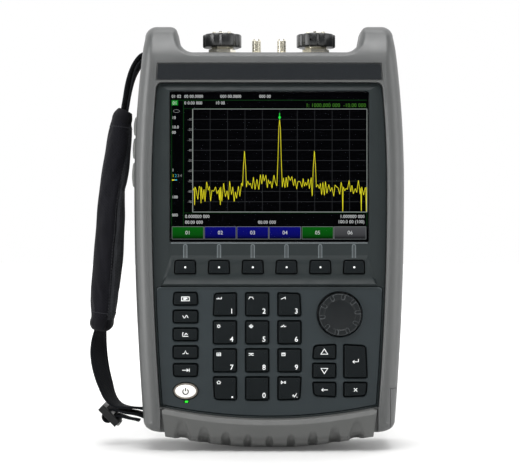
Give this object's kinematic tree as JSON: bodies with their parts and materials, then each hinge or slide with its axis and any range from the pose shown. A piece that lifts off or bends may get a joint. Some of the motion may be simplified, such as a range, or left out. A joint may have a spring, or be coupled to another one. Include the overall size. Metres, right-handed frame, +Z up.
{
  "type": "handheld spectrum analyzer",
  "caption": "Rugged handheld radio spectrum analyzer: portrait case with horned top, display, soft keys, keypad, jog knob, ribbed base bumper and padded hand strap.",
  "frame": {"origin": "middle of the flat underside of the base bumper, mid depth of the case", "axes": "+Z up along the case, +X to the right seen from the front, the face with display and keys looks along -Y"},
  "size_m": [0.2183, 0.0726, 0.292],
  "materials": {
    "case_grey": "satin textured",
    "bumper_rubber": "matte moulded rubber",
    "strip_black": "smooth dark label strip",
    "seal_rubber": "matte",
    "steel": "brushed",
    "panel_slate": "fine matte texture",
    "window_glass": "clear hard coat",
    "screen_black": "dark display",
    "led_green": "lit indicator",
    "board_green": "solder mask",
    "key_black": "matte",
    "key_white": "smooth",
    "knob_black": "matte",
    "socket_nickel": "nickel plated",
    "ring_black": "satin",
    "shield_aluminium": "milled",
    "battery_grey": "matte",
    "stand_black": "satin",
    "webbing_black": "woven",
    "pad_black": "woven sleeve"
  },
  "bodies": {
    "case": {"front_frame": "case_grey", "rear_case": "case_grey", "bottom_bumper": "bumper_rubber", "name_strip": "strip_black", "case_gasket": "seal_rubber", "case_screws": "steel", "side_plugs": "seal_rubber", "face_panel": "panel_slate", "keypad_panel": "panel_slate", "display_window": "window_glass", "lcd_module": "screen_black", "power_led": "led_green", "key_mat": "seal_rubber", "keypad_board": "board_green", "encoder": "socket_nickel", "rf_ports": "socket_nickel", "sma_jacks": "socket_nickel", "main_board": "board_green", "rf_module": "shield_aluminium", "battery_pack": "battery_grey", "io_jacks": "socket_nickel", "strap_webbing": "webbing_black", "strap_pad": "pad_black", "strap_pins": "steel", "strap_buckle": "stand_black"},
    "softkey_1": {"softkey_1": "key_black"},
    "softkey_2": {"softkey_2": "key_black"},
    "softkey_3": {"softkey_3": "key_black"},
    "softkey_4": {"softkey_4": "key_black"},
    "softkey_5": {"softkey_5": "key_black"},
    "softkey_6": {"softkey_6": "key_black"},
    "function_key_1": {"function_key_1": "key_black"},
    "function_key_2": {"function_key_2": "key_black"},
    "function_key_3": {"function_key_3": "key_black"},
    "function_key_4": {"function_key_4": "key_black"},
    "function_key_5": {"function_key_5": "key_black"},
    "digit_key_1": {"digit_key_1": "key_black"},
    "digit_key_2": {"digit_key_2": "key_black"},
    "digit_key_3": {"digit_key_3": "key_black"},
    "digit_key_4": {"digit_key_4": "key_black"},
    "digit_key_5": {"digit_key_5": "key_black"},
    "digit_key_6": {"digit_key_6": "key_black"},
    "digit_key_7": {"digit_key_7": "key_black"},
    "digit_key_8": {"digit_key_8": "key_black"},
    "digit_key_9": {"digit_key_9": "key_black"},
    "point_key": {"point_key": "key_black"},
    "digit_key_0": {"digit_key_0": "key_black"},
    "sign_key": {"sign_key": "key_black"},
    "up_key": {"up_key": "key_black"},
    "down_key": {"down_key": "key_black"},
    "back_key": {"back_key": "key_black"},
    "enter_key": {"enter_key": "key_black"},
    "escape_key": {"escape_key": "key_black"},
    "power_key": {"power_key": "key_white"},
    "jog_knob": {"jog_knob": "knob_black"},
    "left_port_ring": {"left_port_ring": "ring_black"},
    "right_port_ring": {"right_port_ring": "ring_black"},
    "io_door": {"io_door": "case_grey"},
    "battery_door": {"battery_door": "case_grey"},
    "tilt_stand": {"tilt_stand": "stand_black"}
  },
  "joints": [
    {"name": "softkey_1_press", "type": "slide", "parent": "case", "child": "softkey_1", "axis": [0, 1, 0], "range_m": [0, 0.0012], "stiffness_N_per_m": 400, "springref_m": -0.0005},
    {"name": "softkey_2_press", "type": "slide", "parent": "case", "child": "softkey_2", "axis": [0, 1, 0], "range_m": [0, 0.0012], "stiffness_N_per_m": 400, "springref_m": -0.0005},
    {"name": "softkey_3_press", "type": "slide", "parent": "case", "child": "softkey_3", "axis": [0, 1, 0], "range_m": [0, 0.0012], "stiffness_N_per_m": 400, "springref_m": -0.0005},
    {"name": "softkey_4_press", "type": "slide", "parent": "case", "child": "softkey_4", "axis": [0, 1, 0], "range_m": [0, 0.0012], "stiffness_N_per_m": 400, "springref_m": -0.0005},
    {"name": "softkey_5_press", "type": "slide", "parent": "case", "child": "softkey_5", "axis": [0, 1, 0], "range_m": [0, 0.0012], "stiffness_N_per_m": 400, "springref_m": -0.0005},
    {"name": "softkey_6_press", "type": "slide", "parent": "case", "child": "softkey_6", "axis": [0, 1, 0], "range_m": [0, 0.0012], "stiffness_N_per_m": 400, "springref_m": -0.0005},
    {"name": "function_key_1_press", "type": "slide", "parent": "case", "child": "function_key_1", "axis": [0, 1, 0], "range_m": [0, 0.0012], "stiffness_N_per_m": 400, "springref_m": -0.0005},
    {"name": "function_key_2_press", "type": "slide", "parent": "case", "child": "function_key_2", "axis": [0, 1, 0], "range_m": [0, 0.0012], "stiffness_N_per_m": 400, "springref_m": -0.0005},
    {"name": "function_key_3_press", "type": "slide", "parent": "case", "child": "function_key_3", "axis": [0, 1, 0], "range_m": [0, 0.0012], "stiffness_N_per_m": 400, "springref_m": -0.0005},
    {"name": "function_key_4_press", "type": "slide", "parent": "case", "child": "function_key_4", "axis": [0, 1, 0], "range_m": [0, 0.0012], "stiffness_N_per_m": 400, "springref_m": -0.0005},
    {"name": "function_key_5_press", "type": "slide", "parent": "case", "child": "function_key_5", "axis": [0, 1, 0], "range_m": [0, 0.0012], "stiffness_N_per_m": 400, "springref_m": -0.0005},
    {"name": "digit_key_1_press", "type": "slide", "parent": "case", "child": "digit_key_1", "axis": [0, 1, 0], "range_m": [0, 0.0012], "stiffness_N_per_m": 400, "springref_m": -0.0005},
    {"name": "digit_key_2_press", "type": "slide", "parent": "case", "child": "digit_key_2", "axis": [0, 1, 0], "range_m": [0, 0.0012], "stiffness_N_per_m": 400, "springref_m": -0.0005},
    {"name": "digit_key_3_press", "type": "slide", "parent": "case", "child": "digit_key_3", "axis": [0, 1, 0], "range_m": [0, 0.0012], "stiffness_N_per_m": 400, "springref_m": -0.0005},
    {"name": "digit_key_4_press", "type": "slide", "parent": "case", "child": "digit_key_4", "axis": [0, 1, 0], "range_m": [0, 0.0012], "stiffness_N_per_m": 400, "springref_m": -0.0005},
    {"name": "digit_key_5_press", "type": "slide", "parent": "case", "child": "digit_key_5", "axis": [0, 1, 0], "range_m": [0, 0.0012], "stiffness_N_per_m": 400, "springref_m": -0.0005},
    {"name": "digit_key_6_press", "type": "slide", "parent": "case", "child": "digit_key_6", "axis": [0, 1, 0], "range_m": [0, 0.0012], "stiffness_N_per_m": 400, "springref_m": -0.0005},
    {"name": "digit_key_7_press", "type": "slide", "parent": "case", "child": "digit_key_7", "axis": [0, 1, 0], "range_m": [0, 0.0012], "stiffness_N_per_m": 400, "springref_m": -0.0005},
    {"name": "digit_key_8_press", "type": "slide", "parent": "case", "child": "digit_key_8", "axis": [0, 1, 0], "range_m": [0, 0.0012], "stiffness_N_per_m": 400, "springref_m": -0.0005},
    {"name": "digit_key_9_press", "type": "slide", "parent": "case", "child": "digit_key_9", "axis": [0, 1, 0], "range_m": [0, 0.0012], "stiffness_N_per_m": 400, "springref_m": -0.0005},
    {"name": "point_key_press", "type": "slide", "parent": "case", "child": "point_key", "axis": [0, 1, 0], "range_m": [0, 0.0012], "stiffness_N_per_m": 400, "springref_m": -0.0005},
    {"name": "digit_key_0_press", "type": "slide", "parent": "case", "child": "digit_key_0", "axis": [0, 1, 0], "range_m": [0, 0.0012], "stiffness_N_per_m": 400, "springref_m": -0.0005},
    {"name": "sign_key_press", "type": "slide", "parent": "case", "child": "sign_key", "axis": [0, 1, 0], "range_m": [0, 0.0012], "stiffness_N_per_m": 400, "springref_m": -0.0005},
    {"name": "up_key_press", "type": "slide", "parent": "case", "child": "up_key", "axis": [0, 1, 0], "range_m": [0, 0.0012], "stiffness_N_per_m": 400, "springref_m": -0.0005},
    {"name": "down_key_press", "type": "slide", "parent": "case", "child": "down_key", "axis": [0, 1, 0], "range_m": [0, 0.0012], "stiffness_N_per_m": 400, "springref_m": -0.0005},
    {"name": "back_key_press", "type": "slide", "parent": "case", "child": "back_key", "axis": [0, 1, 0], "range_m": [0, 0.0012], "stiffness_N_per_m": 400, "springref_m": -0.0005},
    {"name": "enter_key_press", "type": "slide", "parent": "case", "child": "enter_key", "axis": [0, 1, 0], "range_m": [0, 0.0012], "stiffness_N_per_m": 400, "springref_m": -0.0005},
    {"name": "escape_key_press", "type": "slide", "parent": "case", "child": "escape_key", "axis": [0, 1, 0], "range_m": [0, 0.0012], "stiffness_N_per_m": 400, "springref_m": -0.0005},
    {"name": "power_key_press", "type": "slide", "parent": "case", "child": "power_key", "axis": [0, 1, 0], "range_m": [0, 0.0012], "stiffness_N_per_m": 400, "springref_m": -0.0005},
    {"name": "jog_knob_turn", "type": "hinge", "parent": "case", "child": "jog_knob", "pos_m": [0.0474, -0.03, 0.0929], "axis": [0, 1, 0], "continuous": true},
    {"name": "left_port_ring_turn", "type": "hinge", "parent": "case", "child": "left_port_ring", "pos_m": [-0.0325, -0.002, 0.28], "axis": [0, 0, 1], "continuous": true},
    {"name": "right_port_ring_turn", "type": "hinge", "parent": "case", "child": "right_port_ring", "pos_m": [0.0325, -0.002, 0.28], "axis": [0, 0, 1], "continuous": true},
    {"name": "io_door_open", "type": "hinge", "parent": "case", "child": "io_door", "pos_m": [0.0921, 0.0088, 0.157], "axis": [0, 0, 1], "range_deg": [0, 100]},
    {"name": "battery_door_slide", "type": "slide", "parent": "case", "child": "battery_door", "axis": [0, 0, -1], "range_m": [0, 0.034]},
    {"name": "tilt_stand_fold", "type": "hinge", "parent": "case", "child": "tilt_stand", "pos_m": [0, 0.0336, 0.146], "axis": [1, 0, 0], "range_deg": [0, 40]}
  ]
}
